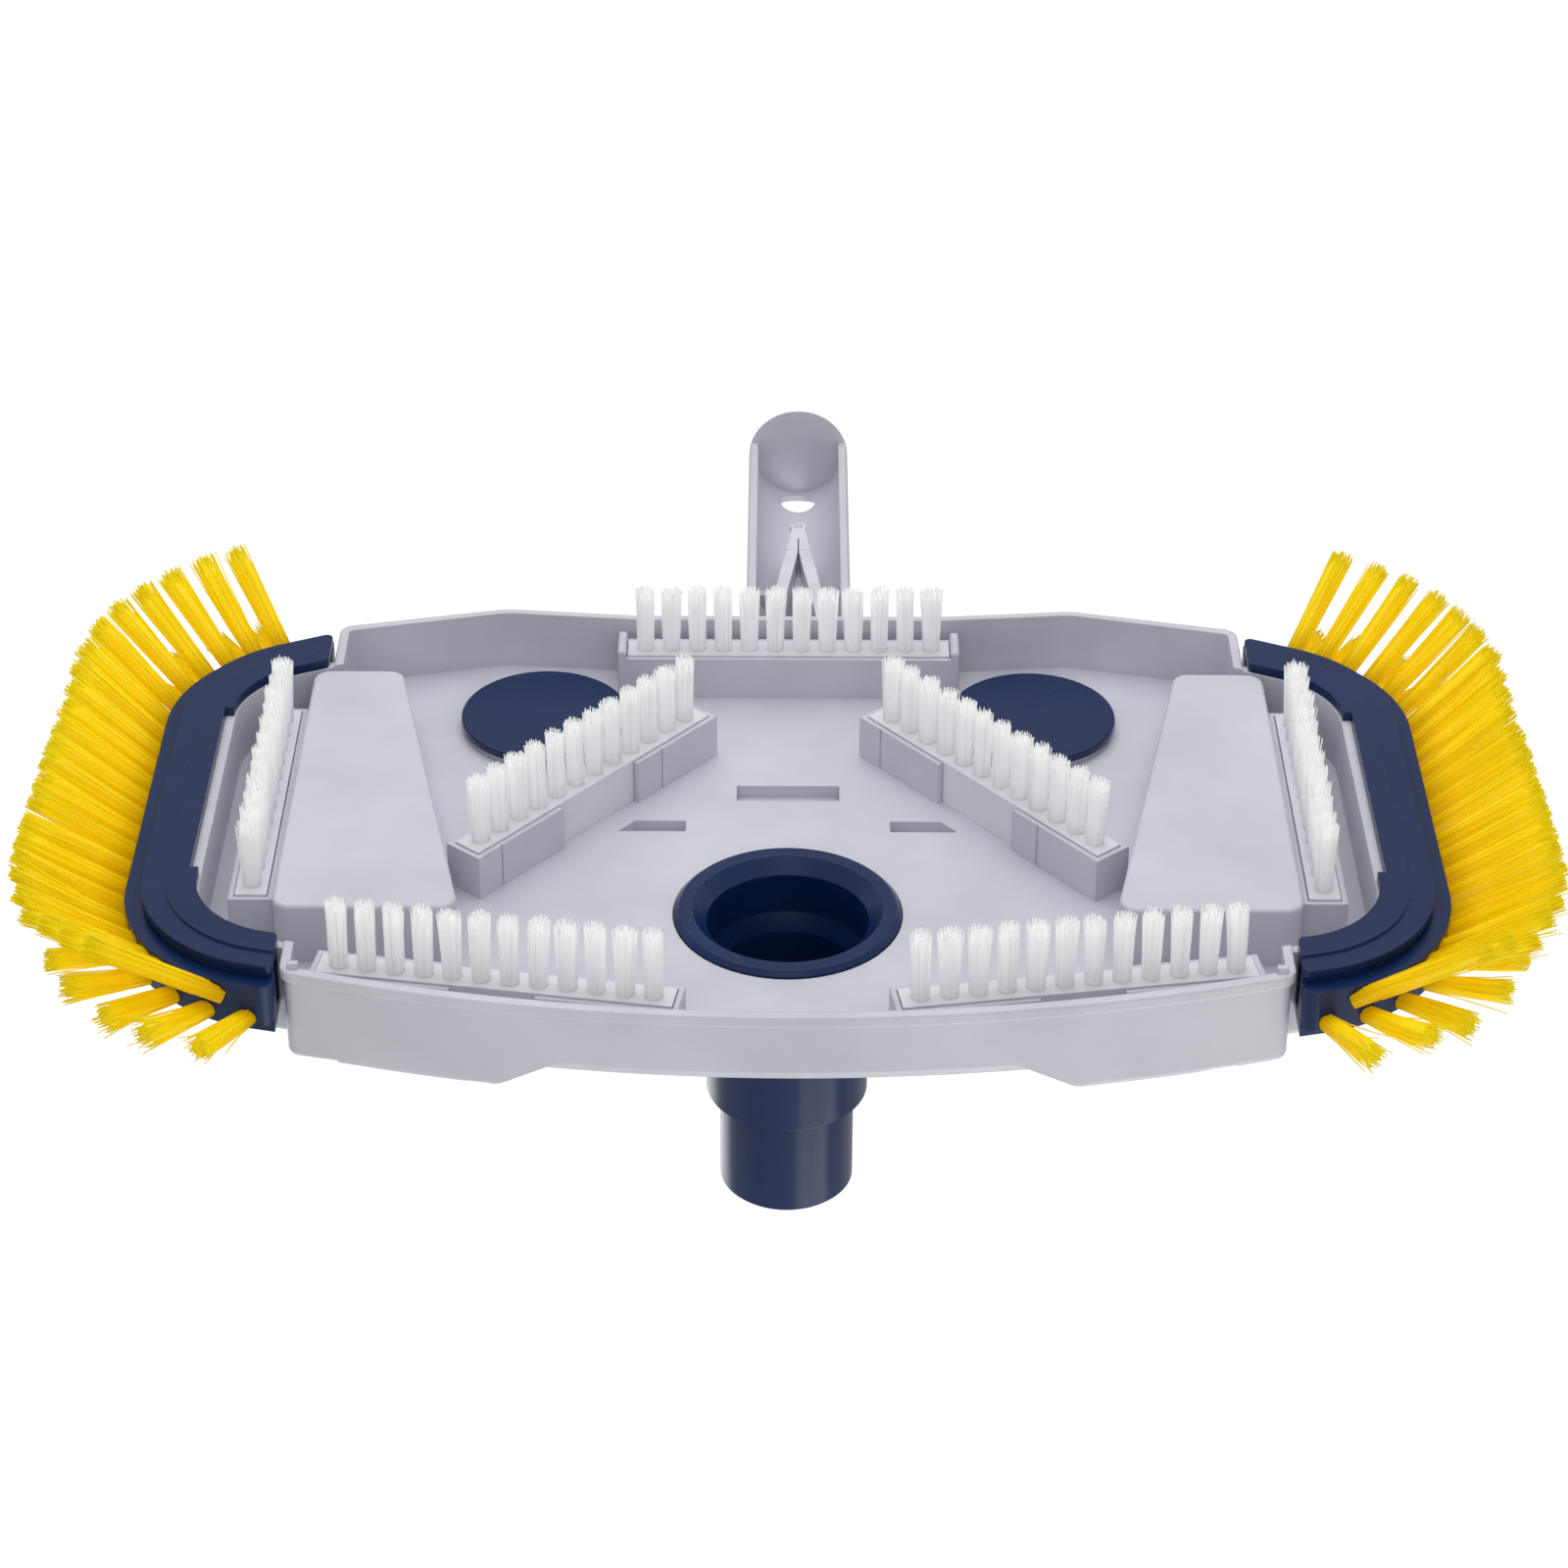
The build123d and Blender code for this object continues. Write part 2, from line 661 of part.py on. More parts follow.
def make_screw(shank_radius, head_radius, head_height, length):
    """Pan-head screw pointing down, with its seat at z = 0."""
    head = Cylinder(head_radius, head_height, align=(Align.CENTER, Align.CENTER, Align.MIN))
    head = fillet(head.edges().filter_by(GeomType.CIRCLE).sort_by(Axis.Z)[-1:], head_height * 0.4)
    shank = Cylinder(shank_radius, length, align=(Align.CENTER, Align.CENTER, Align.MAX))
    slot = head_radius * 1.2
    recess = Pos(0, 0, head_height) * (
        Box(slot, screw_slot, 2 * screw_slot) + Box(screw_slot, slot, 2 * screw_slot))
    return head + shank - recess


def make_hose_swivel():
    """Flared inlet flange, journal and stepped hose spigot as one turned profile."""
    low = plate_z - flange_lip
    seat = low + flange_thickness
    groove_low = plate_top + boss_height + foot_gap
    groove_high = groove_low + ring_height
    neck_low = groove_high + 1.5
    neck_high = neck_low + journal_radius - tube_radius
    outside = [
        (flange_radius - flange_edge, low),
        (flange_radius, low + flange_edge),
        (flange_radius, seat),
        (journal_radius, seat),
        (journal_radius, groove_low),
        (journal_radius - ring_groove, groove_low),
        (journal_radius - ring_groove, groove_high),
        (journal_radius, groove_high),
        (journal_radius, neck_low),
        (tube_radius, neck_high),
        (tube_radius, plate_z + tube_top - spigot_edge),
        (tube_radius - spigot_edge, plate_z + tube_top),
        (spigot_radius, plate_z + tube_top),
        (spigot_radius, plate_z + spigot_top - spigot_edge),
        (spigot_radius - spigot_edge, plate_z + spigot_top),
    ]
    inside = [
        (spigot_bore_radius, plate_z + spigot_top),
        (spigot_bore_radius, plate_z + tube_top - 3),
        (bore_radius, plate_z + tube_top - 9),
        (bore_radius, neck_low),
        (throat_radius, groove_low),
        (throat_radius, low + throat_depth),
        (mouth_radius, low),
    ]
    return revolve(Plane.XZ * make_face(Polyline(*outside, *inside, close=True)), Axis.Z)


def make_retaining_ring():
    """Split ring in the swivel's groove that keeps it in the boss."""
    low = plate_top + boss_height + foot_gap
    ring = Cylinder(journal_radius - ring_groove + ring_width, ring_height)
    ring = ring - Cylinder(journal_radius - ring_groove, ring_height)
    gap = Pos(journal_radius, 0, 0) * Box(3 * ring_width, 5, ring_height)
    return Pos(0, 0, low + ring_height / 2) * (ring - gap)


def make_swivel_seal():
    """Flat ring between the flange and the plate."""
    low = plate_z - flange_lip + flange_thickness + running_gap / 2
    outside = Cylinder(flange_radius - 2 * foot_gap, seal_thickness - running_gap)
    ring = outside - Cylinder(journal_radius + foot_gap, seal_thickness)
    return Pos(0, 0, low + (seal_thickness - running_gap) / 2) * ring


def make_pole_handle():
    """Half-open tube that points to +Y, with a solid root between the ears."""
    up = (Align.CENTER, Align.CENTER, Align.MIN)
    length = handle_tip_y - root_end_y
    hollow = length - neck_wall - tip_wall
    along = Pos(0, root_end_y, pivot_z) * Rot(-90, 0, 0)
    tube = along * Cylinder(handle_radius, length, align=up)
    tube = fillet(tube.edges().filter_by(GeomType.CIRCLE).sort_by(Axis.Y)[-1:], tip_round)
    inner = along * Pos(0, 0, neck_wall) * Cylinder(handle_radius - handle_wall, hollow, align=up)
    mouth = Pos(0, root_end_y + neck_wall, pivot_z - handle_lip) * Box(
        4 * handle_radius, hollow, 2 * handle_radius, align=(Align.CENTER, Align.MIN, Align.MAX))
    channel = tube - inner - mouth
    axis = Pos(0, pivot_y, pivot_z)
    root = axis * Rot(0, 90, 0) * Cylinder(root_radius, root_width)
    neck = axis * Box(
        root_width, root_end_y - pivot_y + neck_wall, 2 * root_radius,
        align=(Align.CENTER, Align.MIN, Align.CENTER))
    neck = neck & (axis * Rot(-90, 0, 0) * Cylinder(root_width / 2, 4 * root_end_y))
    heel_low = plate_top + foot_gap
    heel = Pos(0, pivot_y + heel_start, heel_low) * Box(
        heel_width, heel_length, pivot_z - heel_low, align=(Align.CENTER, Align.MIN, Align.MIN))
    handle = channel + root + neck + heel
    handle = handle - axis * Rot(0, 90, 0) * Cylinder(pin_radius + running_gap, 2 * root_width)
    handle = handle - Pos(0, handle_tip_y - drain_from_tip, pivot_z) * Cylinder(
        drain_radius, 2 * handle_radius, align=up)
    button_y = clip_bend_y - clip_leg_length
    handle = handle - Pos(0, button_y, pivot_z) * Rot(0, 90, 0) * Cylinder(
        button_radius + button_gap, 4 * handle_radius)
    rib_low = pivot_z + clip_height / 2 + foot_gap
    rib = Pos(0, clip_rib_y, rib_low) * Box(4 * handle_radius, clip_rib, handle_radius, align=up)
    post_low = pivot_z - clip_height / 2
    post = Pos(0, clip_bend_y, post_low) * Cylinder(
        clip_post_radius, handle_radius - handle_wall / 2 + clip_height / 2, align=up)
    bore_core = along * Cylinder(handle_radius - handle_wall / 2, length, align=up)
    return handle + (rib & bore_core) + post


def clip_root(side):
    """Where a clip leg bends: its centre line at the web's end."""
    lean = math.radians(clip_leg_angle)
    return side * (clip_slit / 2 + clip_leg_thickness / 2 / math.cos(lean)), clip_bend_y - clip_web


def clip_leg_end(side):
    """Where a clip leg's centre line reaches its button, at rest."""
    root_x, _ = clip_root(side)
    run = (clip_leg_length - clip_web) * math.tan(math.radians(clip_leg_angle))
    return root_x + side * run, clip_bend_y - clip_leg_length


def make_clip_bend():
    """Rounded eye and web of the spring clip, held on the handle's post."""
    root_x, root_y = clip_root(1)
    half = root_x + clip_leg_thickness / 2
    outline = make_face(
        Polyline(
            (-clip_leg_thickness / 2, clip_bend_y),
            (clip_leg_thickness / 2, clip_bend_y),
            (half, root_y),
            (-half, root_y),
            close=True,
        )
    )
    web = prism(outline, pivot_z - clip_height / 2, pivot_z + clip_height / 2)
    for side in (-1, 1):
        knuckle = Cylinder(clip_leg_thickness / 2 + running_gap, 2 * clip_height)
        web = web - Pos(side * root_x, root_y, pivot_z) * knuckle
    slit = Box(clip_slit, 2 * clip_slit_length, 2 * clip_height)
    eye = Pos(0, clip_bend_y, pivot_z) * Cylinder(eye_radius, clip_height)
    hole = Pos(0, clip_bend_y, pivot_z) * Cylinder(clip_post_radius + running_gap, 2 * clip_height)
    return web - Pos(0, root_y, pivot_z) * slit + eye - hole


def make_clip_leg(side):
    """One springy leg with its round lock button."""
    root_x, root_y = clip_root(side)
    end_x, end_y = clip_leg_end(side)
    length = math.hypot(end_x - root_x, end_y - root_y) + button_radius
    angle = math.degrees(math.atan2(end_y - root_y, end_x - root_x))
    leg = Pos(root_x, root_y, pivot_z) * Rot(0, 0, angle) * Box(
        length, clip_leg_thickness, clip_height, align=(Align.MIN, Align.CENTER, Align.CENTER))
    knuckle = Pos(root_x, root_y, pivot_z) * Cylinder(clip_leg_thickness / 2, clip_height)
    reach = handle_radius + button_stand - abs(end_x)
    button = Pos(end_x, end_y, pivot_z) * Rot(0, side * 90, 0) * Cylinder(
        button_radius, reach, align=(Align.CENTER, Align.CENTER, Align.MIN))
    faces = button.edges().filter_by(GeomType.CIRCLE).sort_by(Axis.X)
    button = fillet(faces[-1:] if side > 0 else faces[:1], button_round)
    return leg + knuckle + button


def make_pivot_pin():
    """Headed pin through the ears and the handle's root."""
    outer = root_width / 2 + ear_gap + ear_thickness
    shaft = Pos(-outer, pivot_y, pivot_z) * Rot(0, 90, 0) * Cylinder(
        pin_radius, 2 * outer + 4, align=(Align.CENTER, Align.CENTER, Align.MIN))
    head = Pos(-outer, pivot_y, pivot_z) * Rot(0, -90, 0) * Cylinder(
        pin_head_radius, pin_head, align=(Align.CENTER, Align.CENTER, Align.MIN))
    return shaft + head


def make_pin_clip():
    """Push-on washer at the pin's plain end."""
    outer = root_width / 2 + ear_gap + ear_thickness
    washer = Cylinder(pin_head_radius, 1.2) - Cylinder(pin_radius, 1.2)
    return Pos(outer + 0.6 + seat_gap, pivot_y, pivot_z) * Rot(0, 90, 0) * washer


def make_rail_screws():
    """Screws that hold both rails, put in through the plate's edge from above."""
    screws = []
    for x, y in rail_screw_points():
        screw = Pos(x, y, web_top) * make_screw(
            rail_screw_radius, 2 * rail_screw_radius, rail_screw_head, rail_screw_length)
        screws = screws + [screw, mirrored(screw)]
    return screws


# ---- Build every node ----
nodes = {"body_shell": make_body_shell()}
right_hand = {
    "side_rail": make_side_rail,
    "side_brush_carrier": make_side_carrier,
    "ballast_cap": make_ballast_cap,
    "ballast_disc": make_ballast_disc,
    "ballast_block": make_ballast_block,
    "lobe_cover": make_lobe_cover,
}
rail_holes = [
    place(Pos(x, y, web_top) * Cylinder(
        rail_screw_radius, rail_screw_length, align=(Align.CENTER, Align.CENTER, Align.MAX)))
    for x, y in rail_screw_points()
    for place in (lambda s: s, mirrored)
]
for name, maker in right_hand.items():
    shape = maker()
    for side, placed in (("right", shape), ("left", mirrored(shape))):
        if name in ("side_rail", "side_brush_carrier"):
            placed = placed - rail_holes
        nodes[f"{name}_{side}"] = placed
for row in side_row_rises:
    tufts = side_tufts(row)
    nodes[f"side_tufts_{row}_right"] = Compound(children=tufts)
    nodes[f"side_tufts_{row}_left"] = Compound(children=[mirrored(tuft) for tuft in tufts])
for name, (x, y, angle, _) in brush_places.items():
    nodes[f"brush_bar_{name}"] = Pos(x, y, 0) * Rot(0, 0, angle) * make_brush_bar()
    nodes[f"floor_tufts_{name}"] = Compound(
        children=[Pos(x, y, 0) * Rot(0, 0, angle) * tuft for tuft in make_floor_tufts()])
cover_screw = make_screw(cover_screw_radius, cover_head_radius, cover_head_height, cover_screw_length)
cover_screws = [Pos(x, y, lobe_top) * cover_screw for x, y in cover_screw_points()]
nodes["cover_screws"] = Compound(children=cover_screws + [mirrored(screw) for screw in cover_screws])
nodes["rail_screws"] = Compound(children=make_rail_screws())
nodes["hose_swivel"] = make_hose_swivel()
nodes["swivel_retaining_ring"] = make_retaining_ring()
nodes["swivel_seal"] = make_swivel_seal()
handle_nodes = {
    "pole_handle": make_pole_handle(),
    "handle_pivot_pin": make_pivot_pin(),
    "pivot_pin_clip": make_pin_clip(),
    "spring_clip_bend": make_clip_bend(),
    "spring_clip_leg_left": make_clip_leg(-1),
    "spring_clip_leg_right": make_clip_leg(1),
}
for name, shape in handle_nodes.items():
    nodes[name] = Pos(handle_x, 0, 0) * shape

# ---- Put the origin under the middle of the whole head and write each node ----
boxes = [shape.bounding_box() for shape in nodes.values()]
middle_y = (min(box.min.Y for box in boxes) + max(box.max.Y for box in boxes)) / 2
print("middle y", round(middle_y, 3))
for name, shape in nodes.items():
    export_step(Pos(0, -middle_y, 0) * shape, f"parts/{name}.step")
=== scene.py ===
# %% [markdown]
# # The looks of a manual vacuum head for a swimming pool
# The shape, sizes and joints of this object come from a CAD model. This lesson adds what CAD leaves out:
# the nylon filaments of its brushes, the moulded plastics, the light and the camera. All lengths are in
# metres, and +Z is up as the head stands on the pool floor on its white brushes.

# %% Tools and the frame
import math

import bpy
import numpy as np
from mathutils import Matrix, Vector


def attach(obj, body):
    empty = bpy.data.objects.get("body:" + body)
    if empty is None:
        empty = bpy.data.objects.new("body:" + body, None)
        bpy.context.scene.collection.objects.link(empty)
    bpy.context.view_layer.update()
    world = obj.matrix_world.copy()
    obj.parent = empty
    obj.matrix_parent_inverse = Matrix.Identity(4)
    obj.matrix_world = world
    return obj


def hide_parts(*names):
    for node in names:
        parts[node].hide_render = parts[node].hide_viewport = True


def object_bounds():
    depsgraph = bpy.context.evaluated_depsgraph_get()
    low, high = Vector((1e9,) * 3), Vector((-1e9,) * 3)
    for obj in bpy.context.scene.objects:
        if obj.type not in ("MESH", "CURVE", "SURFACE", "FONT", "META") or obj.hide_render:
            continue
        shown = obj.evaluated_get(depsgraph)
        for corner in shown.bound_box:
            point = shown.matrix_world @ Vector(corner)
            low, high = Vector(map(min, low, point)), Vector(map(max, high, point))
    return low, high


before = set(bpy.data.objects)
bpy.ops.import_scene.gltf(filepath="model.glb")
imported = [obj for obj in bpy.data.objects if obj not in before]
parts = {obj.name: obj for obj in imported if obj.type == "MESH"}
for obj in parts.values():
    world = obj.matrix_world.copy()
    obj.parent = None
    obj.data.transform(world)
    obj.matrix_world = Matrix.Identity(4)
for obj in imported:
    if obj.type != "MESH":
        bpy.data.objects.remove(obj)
cad_low, cad_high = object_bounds()
MM = 0.001
print("CAD parts:", len(parts), "size in mm:", [round(s / MM, 1) for s in cad_high - cad_low])

# %% [markdown]
# ## Colours and small helpers
# Paint colours are usually written as sRGB hex values, but a renderer adds up light, so it needs linear
# values. One function does that for every colour here. A second one puts a shader node in place with its
# settings and links, so that each material below reads as a short list of steps.

# %% Colour and node helpers
def linear(hex_colour):
    """Turns an sRGB hex colour into the linear RGBA that shaders use."""
    values = [int(hex_colour[i:i + 2], 16) / 255 for i in (1, 3, 5)]
    return [v / 12.92 if v <= 0.04045 else ((v + 0.055) / 1.055) ** 2.4 for v in values] + [1.0]


def add_node(tree, kind, settings=None, values=None, links=None):
    """Adds one node: settings are its own options, values its input numbers, links its incoming wires."""
    node = tree.nodes.new("ShaderNode" + kind)
    for name, value in (settings or {}).items():
        setattr(node, name, value)
    for name, value in (values or {}).items():
        node.inputs[name].default_value = value
    for name, source in (links or {}).items():
        tree.links.new(source, node.inputs[name])
    return node


def new_material(name):
    """An empty material with an output, ready for its own nodes."""
    material = bpy.data.materials.new(name)
    material.use_nodes = True
    material.node_tree.nodes.clear()
    output = add_node(material.node_tree, "OutputMaterial")
    return material, material.node_tree, output


def colour_steps(ramp, *steps):
    """Sets a colour ramp to (position, hex colour) steps."""
    while len(ramp.elements) < len(steps):
        ramp.elements.new(1.0)
    for element, (position, colour) in zip(ramp.elements, steps):
        element.position = position
        element.color = linear(colour)


print("mid grey is", [round(v, 3) for v in linear("#808080")[:3]], "in linear light")

# %% [markdown]
# ## Moulded ABS
# The body, handle and covers are injection-moulded ABS in a light cool grey; the rails, discs and hose
# swivel are the same plastic in navy. The steel mould was spark-eroded and then polished, which leaves a
# very fine orange-peel, and the melt leaves soft flow clouds a few centimetres wide. Handling dulls it in
# patches. A mould can't have knife-sharp edges either, so the shader rounds every edge by a few tenths of
# a millimetre, which gives each one its thin highlight. This is a shader effect, because the CAD mesh must
# stay as it is.

# %% A moulded plastic material
edge_samples = 4     # directions that the edge rounding looks in
cloud_mm = 30        # width of the flow clouds
handled_mm = 12      # width of the patches that handling has dulled


def moulded_plastic(name, shade, body, light, roughness, peel_mm, peel_height_mm, edge_mm, scuff, shine):
    """Pigmented ABS: clouds of one pigment, an orange-peel bump, duller handled patches and rounded edges."""
    material, tree, output = new_material(name)
    place = add_node(tree, "TexCoord").outputs["Object"]
    cloud = add_node(tree, "TexNoise", links={"Vector": place}, values={
        "Scale": 1 / (cloud_mm * MM), "Detail": 3.0, "Roughness": 0.55})
    colour = add_node(tree, "ValToRGB", links={"Fac": cloud.outputs["Fac"]})
    colour_steps(colour.color_ramp, (0.32, shade), (0.5, body), (0.68, light))
    # handled places are duller, in patches that finer ones break up
    handled = add_node(tree, "TexNoise", links={"Vector": place}, values={
        "Scale": 1 / (handled_mm * MM), "Detail": 5.0, "Roughness": 0.6})
    gloss = add_node(tree, "MapRange", links={"Value": handled.outputs["Fac"]}, values={
        "From Min": 0.4, "From Max": 0.7, "To Min": roughness, "To Max": roughness + scuff})
    # orange-peel of the moulded skin
    peel = add_node(tree, "TexNoise", links={"Vector": place}, values={
        "Scale": 1 / (peel_mm * MM), "Detail": 2.0})
    edge = add_node(tree, "Bevel", {"samples": edge_samples}, {"Radius": edge_mm * MM})
    bump = add_node(tree, "Bump", values={"Strength": 0.6, "Distance": peel_height_mm * MM},
                    links={"Height": peel.outputs["Fac"], "Normal": edge.outputs["Normal"]})
    shader = add_node(tree, "BsdfPrincipled", values={"IOR": 1.54, "Specular IOR Level": shine}, links={
        "Base Color": colour.outputs["Color"], "Roughness": gloss.outputs["Result"],
        "Normal": bump.outputs["Normal"]})
    tree.links.new(shader.outputs["BSDF"], output.inputs["Surface"])
    return material


# Light grey ABS: a satin skin, so highlights are broad and the colour stays even.
grey_abs = moulded_plastic(
    "grey_abs_moulded", "#C4C4CE", "#C9C9D3", "#CECED8", roughness=0.38, peel_mm=1.1,
    peel_height_mm=0.010, edge_mm=0.5, scuff=0.08, shine=0.4)
# The bars that hold the tufts are a paler grey.
pale_abs = moulded_plastic(
    "pale_abs_moulded", "#D9D9E0", "#DEDEE5", "#E3E3EA", roughness=0.38, peel_mm=1.1,
    peel_height_mm=0.010, edge_mm=0.4, scuff=0.08, shine=0.4)
# Navy ABS comes from a polished mould. It is glossier, so the lights show on it as soft sheens on a very
# dark ground.
navy_abs = moulded_plastic(
    "navy_abs_polished", "#0D224B", "#0F2550", "#112855", roughness=0.25, peel_mm=1.6,
    peel_height_mm=0.0015, edge_mm=0.35, scuff=0.04, shine=0.3)
print("ABS materials:", grey_abs.name, pale_abs.name, navy_abs.name)

# %% [markdown]
# ## Small fittings
# The spring clip is acetal, which is slightly waxy and milky. The ring that keeps the swivel in its boss
# is natural acetal too. The seal is moulded EPDM rubber: near black and dull. The pivot pin and the screws
# are drawn stainless steel, with fine turning marks round their axis. The hidden ballast is cast steel
# with a zinc coat.

# %% Materials of the small fittings
mark_length_mm = 12     # length of the marks on worked steel


def waxy_acetal(name, dark, light):
    """Moulded acetal: a soft, milky skin with faint flow clouds."""
    material, tree, output = new_material(name)
    place = add_node(tree, "TexCoord").outputs["Object"]
    cloud = add_node(tree, "TexNoise", values={"Scale": 1 / (9 * MM), "Detail": 2.0}, links={"Vector": place})
    colour = add_node(tree, "ValToRGB", links={"Fac": cloud.outputs["Fac"]})
    colour_steps(colour.color_ramp, (0.35, dark), (0.65, light))
    edge = add_node(tree, "Bevel", {"samples": edge_samples}, {"Radius": 0.35 * MM})
    skin = add_node(tree, "TexNoise", values={"Scale": 1 / (0.8 * MM)}, links={"Vector": place})
    bump = add_node(tree, "Bump", values={"Strength": 0.4, "Distance": 0.01 * MM},
                    links={"Height": skin.outputs["Fac"], "Normal": edge.outputs["Normal"]})
    shader = add_node(tree, "BsdfPrincipled", values={"IOR": 1.48, "Roughness": 0.33},
                      links={"Base Color": colour.outputs["Color"], "Normal": bump.outputs["Normal"]})
    tree.links.new(shader.outputs["BSDF"], output.inputs["Surface"])
    return material


def epdm_rubber(name):
    """Moulded EPDM rubber: near black, dull, with a dusty bloom in patches."""
    material, tree, output = new_material(name)
    place = add_node(tree, "TexCoord").outputs["Object"]
    bloom = add_node(tree, "TexNoise", values={"Scale": 1 / (6 * MM), "Detail": 4.0}, links={"Vector": place})
    colour = add_node(tree, "ValToRGB", links={"Fac": bloom.outputs["Fac"]})
    colour_steps(colour.color_ramp, (0.4, "#1B1B1D"), (0.75, "#2B2B2D"))
    grain = add_node(tree, "TexNoise", values={"Scale": 1 / (0.4 * MM)}, links={"Vector": place})
    bump = add_node(tree, "Bump", values={"Strength": 0.5, "Distance": 0.03 * MM},
                    links={"Height": grain.outputs["Fac"]})
    shader = add_node(tree, "BsdfPrincipled", values={"IOR": 1.52, "Roughness": 0.72},
                      links={"Base Color": colour.outputs["Color"], "Normal": bump.outputs["Normal"]})
    tree.links.new(shader.outputs["BSDF"], output.inputs["Surface"])
    return material


def worked_steel(name, dark, light, roughness, mark_mm):
    """Steel with marks of its making: fine, noisy lines in the gloss and the colour."""
    material, tree, output = new_material(name)
    place = add_node(tree, "TexCoord").outputs["Object"]
    along_mark = 1 / (mark_length_mm * MM)
    lines = add_node(tree, "Mapping", values={"Scale": (1 / (mark_mm * MM), along_mark, along_mark)},
                     links={"Vector": place})
    marks = add_node(tree, "TexNoise", values={"Scale": 1.0, "Detail": 4.0},
                     links={"Vector": lines.outputs["Vector"]})
    colour = add_node(tree, "ValToRGB", links={"Fac": marks.outputs["Fac"]})
    colour_steps(colour.color_ramp, (0.3, dark), (0.7, light))
    gloss = add_node(tree, "MapRange", values={"To Min": roughness - 0.08, "To Max": roughness + 0.12},
                     links={"Value": marks.outputs["Fac"]})
    edge = add_node(tree, "Bevel", {"samples": edge_samples}, {"Radius": 0.25 * MM})
    bump = add_node(tree, "Bump", values={"Strength": 0.3, "Distance": 0.01 * MM},
                    links={"Height": marks.outputs["Fac"], "Normal": edge.outputs["Normal"]})
    shader = add_node(tree, "BsdfPrincipled", values={"Metallic": 1.0}, links={
        "Base Color": colour.outputs["Color"], "Roughness": gloss.outputs["Result"],
        "Normal": bump.outputs["Normal"]})
    tree.links.new(shader.outputs["BSDF"], output.inputs["Surface"])
    return material


clip_acetal = waxy_acetal("clip_acetal_moulded", "#CFCED8", "#DCDBE4")
ring_acetal = waxy_acetal("ring_acetal_natural", "#D9D8D2", "#E6E5DF")
seal_rubber = epdm_rubber("seal_epdm_rubber")
stainless = worked_steel("stainless_steel_turned", "#A5A6A9", "#C4C5C7", roughness=0.3, mark_mm=0.25)
zinc_steel = worked_steel("ballast_steel_zinc_coated", "#8C9094", "#B4B7BA", roughness=0.5, mark_mm=3.0)
fittings = [clip_acetal, ring_acetal, seal_rubber, stainless, zinc_steel]
print("fitting materials:", [material.name for material in fittings])

# %% [markdown]
# ## Which part has which material
# The CAD parts keep their shapes and places. Only their material slots change. A list of name starts is
# enough, because every part is named for what it is.

# %% Materials onto the CAD parts
part_materials = [
    ("side_rail", navy_abs), ("side_brush_carrier", navy_abs), ("ballast_cap", navy_abs),
    ("hose_swivel", navy_abs), ("brush_bar", pale_abs),
    ("ballast_disc", zinc_steel), ("ballast_block", zinc_steel), ("swivel_seal", seal_rubber),
    ("swivel_retaining_ring", ring_acetal), ("spring_clip", clip_acetal), ("cover_screws", stainless),
    ("rail_screws", stainless), ("handle_pivot_pin", stainless), ("pivot_pin_clip", stainless),
]
for name, part in parts.items():
    chosen = [material for start, material in part_materials if name.startswith(start)]
    part.data.materials.clear()
    part.data.materials.append(chosen[0] if chosen else grey_abs)
print("parts in grey ABS:", sum(p.data.materials[0] == grey_abs for p in parts.values()))

# %% [markdown]
# ## Nylon filaments
# Each tuft is a bundle of extruded nylon filaments, folded double and stapled into its hole. Extrusion
# leaves a smooth, slightly see-through thread, so a bundle lets a little light through it. The threads
# also carry a faint painted glow, their roots are deeper in colour as painted shade, and their cut ends
# look pale. Every filament carries two numbers in its mesh: how far along it a point is, and a random
# shade of its own. The material reads both, so that the colour stays with the thread.

# %% The filament material
palest = 1.03     # brightness of the palest thread, where 1 is the plain colour


def nylon_filament(name, root, middle, tip, darkest, glow, painted_glow):
    """Extruded nylon thread: painted shade at the root, a paler cut end and a faint painted glow; each one a
    little different.
    """
    material, tree, output = new_material(name)
    along = add_node(tree, "Attribute", {"attribute_name": "along"})
    own = add_node(tree, "Attribute", {"attribute_name": "own_shade"})
    # darker towards the root: the deeper root colour is painted shade, and the cut end is paler
    colour = add_node(tree, "ValToRGB", links={"Fac": along.outputs["Fac"]})
    colour_steps(colour.color_ramp, (0.0, root), (0.35, middle), (0.9, tip))
    value = add_node(tree, "MapRange", values={"To Min": darkest, "To Max": palest},
                     links={"Value": own.outputs["Fac"]})
    toned = add_node(tree, "HueSaturation",
                     links={"Color": colour.outputs["Color"], "Value": value.outputs["Result"]})
    # the threads also give off a faint painted glow, which stands in for light that wanders along them
    shader = add_node(
        tree, "BsdfPrincipled",
        values={"IOR": 1.53, "Roughness": 0.4, "Specular IOR Level": 0.25, "Emission Strength": painted_glow},
        links={"Base Color": toned.outputs["Color"], "Emission Color": toned.outputs["Color"]})
    through = add_node(tree, "BsdfTranslucent", links={"Color": toned.outputs["Color"]})
    both = add_node(tree, "MixShader", values={"Fac": glow})
    tree.links.new(shader.outputs["BSDF"], both.inputs[1])
    tree.links.new(through.outputs["BSDF"], both.inputs[2])
    tree.links.new(both.outputs["Shader"], output.inputs["Surface"])
    return material


# the first colour of each is the deeper root colour, which is painted shade, and the last number sets a faint
# painted glow
yellow_nylon = nylon_filament("yellow_nylon_extruded", "#F6D000", "#FFE600", "#FFEC0A",
                              darkest=0.9, glow=0.35, painted_glow=0.2)
white_nylon = nylon_filament("white_nylon_extruded", "#F3F2F5", "#F9F8FA", "#FFFFFF",
                             darkest=0.9, glow=0.35, painted_glow=0.2)
print("filament materials:", yellow_nylon.name, white_nylon.name)

# %% [markdown]
# ## Where the tufts are
# CAD gives each tuft as one plain tapered solid. Its two end rings tell everything that is needed: where
# it starts, where it ends, and how wide it is there. So the solids of a part are taken apart into islands
# of connected faces, and each island is measured.

